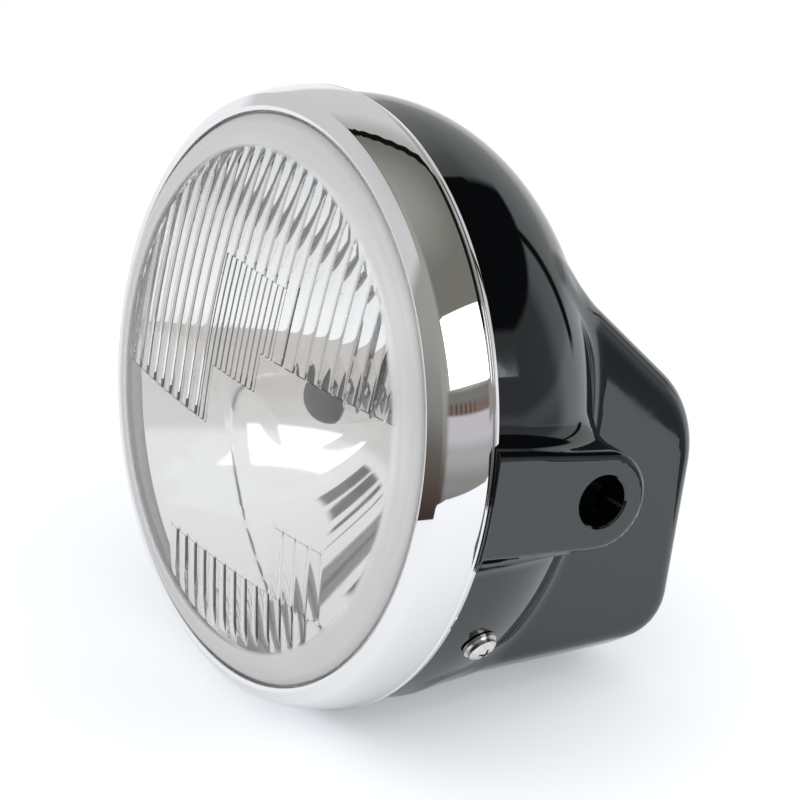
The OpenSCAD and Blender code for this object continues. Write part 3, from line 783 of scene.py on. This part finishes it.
def dress_shell(me):
    """Gives the outer surface the smooth field's own normals, and scales the mesh to metres."""
    v = np.empty(len(me.vertices) * 3)
    me.vertices.foreach_get("co", v)
    v = v.reshape(-1, 3)
    d, g = outer_field(v)
    on_skin = (np.abs(d) < 0.02) & (v[:, 1] > FRONT_EDGE_Y + 1e-3)
    me.polygons.foreach_set("use_smooth", [True] * len(me.polygons))
    me.set_sharp_from_angle(angle=math.radians(40))
    corner = np.empty(len(me.corner_normals) * 3)
    me.corner_normals.foreach_get("vector", corner)
    corner = corner.reshape(-1, 3)
    index = np.empty(len(me.loops), np.int64)
    me.loops.foreach_get("vertex_index", index)
    want = g[index]
    close = on_skin[index] & ((want * corner).sum(1) > 0.8)
    normals = np.where(close[:, None], want, corner)
    v *= MM
    me.vertices.foreach_set("co", v.ravel())
    me.update()
    me.normals_split_custom_set([tuple(n) for n in normals])


shell_mesh = build_shell()
dress_shell(shell_mesh)
shell_mesh.materials.clear()
shell_mesh.materials.append(MAT["black_shell"])
shell = bpy.data.objects.new("bucket_gloss_black", shell_mesh)
bpy.context.scene.collection.objects.link(shell)
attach(shell, "root")
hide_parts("shell")

# ---------------------------------------------------------------- stage
FLOOR_TILT, FLOOR_DROP = math.radians(10.1), 0.0868
floor_n = np.array([0, -math.sin(FLOOR_TILT), math.cos(FLOOR_TILT)])


def stage_floor():
    """A white sheet under the lamp; its edges show in the chrome and in the flat sides of the bucket."""
    along = np.cross(floor_n, (1.0, 0, 0))
    across = np.linspace(-0.45, 0.42, 13)
    deep = np.append(np.linspace(-0.42, 0, 9), [0.06, 0.12, 0.18])
    verts = []
    for x in across:
        stretch = 0.72 + 0.8 * x  # the far edge runs askew
        for y in deep:
            spot = floor_n * -FLOOR_DROP + np.array([x, 0, 0]) + along * (y if y < 0 else y * stretch)
            verts.append(tuple(spot))
    n = len(deep)
    starts = [i * n + j for i in range(len(across) - 1) for j in range(n - 1)]
    faces = [(k, k + n, k + n + 1, k + 1) for k in starts]
    me = bpy.data.meshes.new("floor")
    me.from_pydata(verts, [], faces)
    o = bpy.data.objects.new("stage_floor", me)
    bpy.context.scene.collection.objects.link(o)
    m, t, b = material("pale_floor", (0.93, 0.93, 0.935, 1), Roughness=0.9)
    b.inputs["Specular IOR Level"].default_value = 0.1
    lp = t.add("ShaderNodeLightPath")
    em = t.add("ShaderNodeEmission")
    em.inputs["Color"].default_value = (0.93, 0.99, 1.05, 1)
    in_gloss, in_camera = 0.22, 0.34
    seen = t.math("MULTIPLY", lp.outputs["Is Glossy Ray"], in_gloss)
    t.l.new(t.math("MULTIPLY_ADD", lp.outputs["Is Camera Ray"], in_camera, seen), em.inputs["Strength"])
    add = t.add("ShaderNodeAddShader")
    t.l.new(b.outputs[0], add.inputs[0])
    t.l.new(em.outputs[0], add.inputs[1])
    t.l.new(add.outputs[0], t.n["Material Output"].inputs["Surface"])
    me.materials.append(m)


stage_floor()


def far_side(t, az, el, off):
    """Behind the lamp and to the left: white low down, pale grey above, a ceiling past the streak."""
    olive = ceiling(t, el)
    tone = t.mix(t.step(el, 6, 12), (0.95, 0.955, 0.97, 1), (0.66, 0.66, 0.66, 1))
    tone = t.mix(t.step(el, 36, 52), tone, (0.46, 0.455, 0.44, 1))
    tone = t.mix(t.step(off, 0.8, 2.2), tone, olive)
    # the streak gets thicker towards the right and ends there
    depth = t.math("SUBTRACT", t.math("ABSOLUTE", off), t.step(az, -25, 14, 0.0, 2.0))
    streak = t.product(t.step(depth, 1.9, 2.5, 1.0, 0.0), t.step(az, 12, 24, 1.0, 0.0))
    return t.mix(streak, tone, (0.006, 0.006, 0.005, 1))


def ceiling(t, el):
    return t.ramp(t.step(el, 50, 90), [(0.0, (0.17, 0.17, 0.15, 1)), (0.16, (0.185, 0.185, 0.165, 1)),
        (0.5, (0.25, 0.25, 0.225, 1)), (1.0, (0.34, 0.335, 0.31, 1))])


def right_side(t, az, el, behind):
    """To the right: table, pale wall, brown strip with uprights, darker wall, ceiling; dark room in front."""
    tone = t.mix(t.step(el, -17, -12), (0.2, 0.205, 0.21, 1), (0.27, 0.27, 0.26, 1))
    tone = t.mix(t.step(el, -10, -2), tone, (0.42, 0.41, 0.415, 1))
    tone = t.mix(t.step(el, 0, 5), tone, (0.57, 0.55, 0.58, 1))
    bars = t.math("SINE", t.math("MULTIPLY", az, 1.9))
    upright = t.product(t.step(bars, 0.1, 0.8), t.step(az, 68, 72), t.step(el, 15.5, 17, 1.0, 0.0))
    brown = t.mix(t.step(el, 15, 17.5), (0.2, 0.155, 0.13, 1), (0.2, 0.195, 0.18, 1))
    brown = t.mix(upright, brown, (0.1, 0.065, 0.055, 1))
    tone = t.mix(t.step(el, 11.5, 13), tone, brown)
    tone = t.mix(t.step(el, 19.5, 21.5), tone, (0.42, 0.41, 0.4, 1))
    tone = t.mix(t.step(el, 38, 43), tone, (0.19, 0.185, 0.165, 1))
    tone = t.mix(t.step(el, 57, 61), tone, ceiling(t, el))
    room = t.ramp(t.step(el, -30, 45), [(0.0, (0.035, 0.025, 0.02, 1)), (0.1, (0.085, 0.065, 0.055, 1)),
        (0.25, (0.14, 0.125, 0.11, 1)), (0.4, (0.24, 0.235, 0.215, 1)), (0.7, (0.34, 0.34, 0.32, 1)),
        (1.0, (0.36, 0.36, 0.33, 1))])
    tone = t.mix(t.step(az, 88, 98), tone, room)
    return t.mix(t.product(behind, t.step(el, 6, 10)), tone, (0.3, 0.285, 0.285, 1))


def room_through_lens(t, az, el):
    """The room in front of the lamp, as the dish shows it through the lens: walls, softbox, dark upright."""
    tone = t.mix(t.step(el, 4, 16), (0.55, 0.525, 0.505, 1), (0.63, 0.615, 0.6, 1))
    tone = t.mix(t.step(el, 22, 27), tone, (0.8, 0.8, 0.79, 1))
    tone = t.mix(t.step(el, 45, 75), tone, (0.74, 0.74, 0.73, 1))
    turn = t.math("ADD", az, t.math("MULTIPLY", t.math("LESS_THAN", az, 0.0), 360.0))
    softbox_tone, upright_tone = (1.4, 1.4, 1.4, 1), (0.12, 0.11, 0.11, 1)
    for a0, a1, e0, e1, patch in ((149, 180, 22, 37, softbox_tone), (197, 216, 29, 43, upright_tone)):
        tone = t.mix(t.product(t.between(turn, a0, a1), t.between(el, e0, e1)), tone, patch)
    return tone


def studio_world():
    """White for the camera and plain pale light for matt surfaces; metal, gloss and glass show a studio.

    az is the direction's turn from +Y towards +X, el its rise above level, both in degrees."""
    w = bpy.data.worlds.new("studio")
    bpy.context.scene.world = w
    w.use_nodes = True
    t = Tree(w.node_tree)
    for n in list(t.n):
        t.n.remove(n)
    out = t.add("ShaderNodeOutputWorld")
    bg = t.add("ShaderNodeBackground")
    tc = t.add("ShaderNodeTexCoord")
    s = t.add("ShaderNodeSeparateXYZ")
    lp = t.add("ShaderNodeLightPath")
    glossy, through = lp.outputs["Is Glossy Ray"], lp.outputs["Is Transmission Ray"]
    t.l.new(tc.outputs["Generated"], s.inputs[0])
    x, y, z = s.outputs
    el = t.math("MULTIPLY", t.math("ARCSINE", z), 180 / math.pi)
    az = t.math("MULTIPLY", t.math("ARCTAN2", x, y), 180 / math.pi)
    # height above the wavy line where the far wall meets the ceiling
    wave = t.math("MULTIPLY", t.math("SINE", t.math("MULTIPLY", az, 0.21)), 0.6)
    wave = t.math("MULTIPLY_ADD", t.math("SINE", t.math("MULTIPLY", az, 0.9)), 0.35, wave)
    line = t.math("MULTIPLY_ADD", t.math("MINIMUM", az, 30.0), -0.1, 50.7)
    off = t.math("SUBTRACT", t.math("SUBTRACT", el, t.math("MINIMUM", line, 54.6)), wave)
    # a dark opening high up behind the lamp, and a dark post under it
    behind = t.step(y, 0.5, 0.53)
    gap = t.product(t.step(az, -27, -21), behind, t.step(el, 32, 35), t.step(off, 12.0, 14.0, 1.0, 0.0))
    post = t.product(t.step(az, -10, -8), t.step(az, -5, -3, 1.0, 0.0), t.step(el, 2, 6),
        t.step(el, 34, 36, 1.0, 0.0))
    front_end = t.step(t.math("MULTIPLY_ADD", glossy, -14.0, az), 160, 166, 1.0, 0.0)
    side = t.product(t.step(az, 8, 24), front_end)
    env = t.mix(side, far_side(t, az, el, off), right_side(t, az, el, behind))
    env = t.mix(t.math("MAXIMUM", gap, post), env, BLACK)
    env = t.mix(through, env, room_through_lens(t, az, el))
    colour = t.mix(t.math("MAXIMUM", glossy, through), (0.8, 0.8, 0.805, 1), env)
    colour = t.mix(lp.outputs["Is Camera Ray"], colour, WHITE)
    t.l.new(colour, bg.inputs["Color"])
    bg.inputs["Strength"].default_value = 1.0
    t.l.new(bg.outputs[0], out.inputs["Surface"])


studio_world()


def direction(az, el):
    a, e = math.radians(az), math.radians(el)
    return Vector((math.sin(a) * math.cos(e), math.cos(a) * math.cos(e), math.sin(e)))


def softbox(name, az, el, distance, width, height, radiance):
    """A rectangular lamp that faces the origin."""
    d = bpy.data.lights.new(name, "AREA")
    d.shape = "RECTANGLE"
    d.size = width
    d.size_y = height
    d.energy = radiance * math.pi * width * height
    o = bpy.data.objects.new(name, d)
    back = direction(az, el)
    across = Vector((0, 0, 1)).cross(back).normalized()
    o.matrix_world = Matrix((across, back.cross(across), back)).transposed().to_4x4()
    o.matrix_world.translation = back * distance
    bpy.context.scene.collection.objects.link(o)


softbox("key_window", 73, 34, 1.4, 0.81, 0.6, 2.1)

# ---------------------------------------------------------------- camera
AZ, EL, ROLL = math.radians(55.05), math.radians(17.71), math.radians(9.0)
SENSOR_MM, FOCAL_PX, IMAGE_PX = 36.0, 4870.7, 800.0
DISTANCE, SHIFT_X, SHIFT_Y = 1.5, 0.00828, 0.00269
back = Vector((math.sin(AZ) * math.cos(EL), -math.cos(AZ) * math.cos(EL), math.sin(EL)))
right = Vector((math.cos(AZ), math.sin(AZ), 0))
up = back.cross(right)
cam_x = right * math.cos(ROLL) + up * math.sin(ROLL)
cam_y = up * math.cos(ROLL) - right * math.sin(ROLL)
cam_d = bpy.data.cameras.new("camera")
cam_d.sensor_width = SENSOR_MM
cam_d.lens = FOCAL_PX / IMAGE_PX * SENSOR_MM
cam_d.clip_start, cam_d.clip_end = 0.05, 50
cam = bpy.data.objects.new("camera", cam_d)
cam.matrix_world = Matrix((cam_x, cam_y, back)).transposed().to_4x4()
cam.matrix_world.translation = back * DISTANCE - cam_x * SHIFT_X - cam_y * SHIFT_Y
bpy.context.scene.collection.objects.link(cam)
bpy.context.scene.camera = cam
bpy.context.scene.view_settings.view_transform = "Standard"
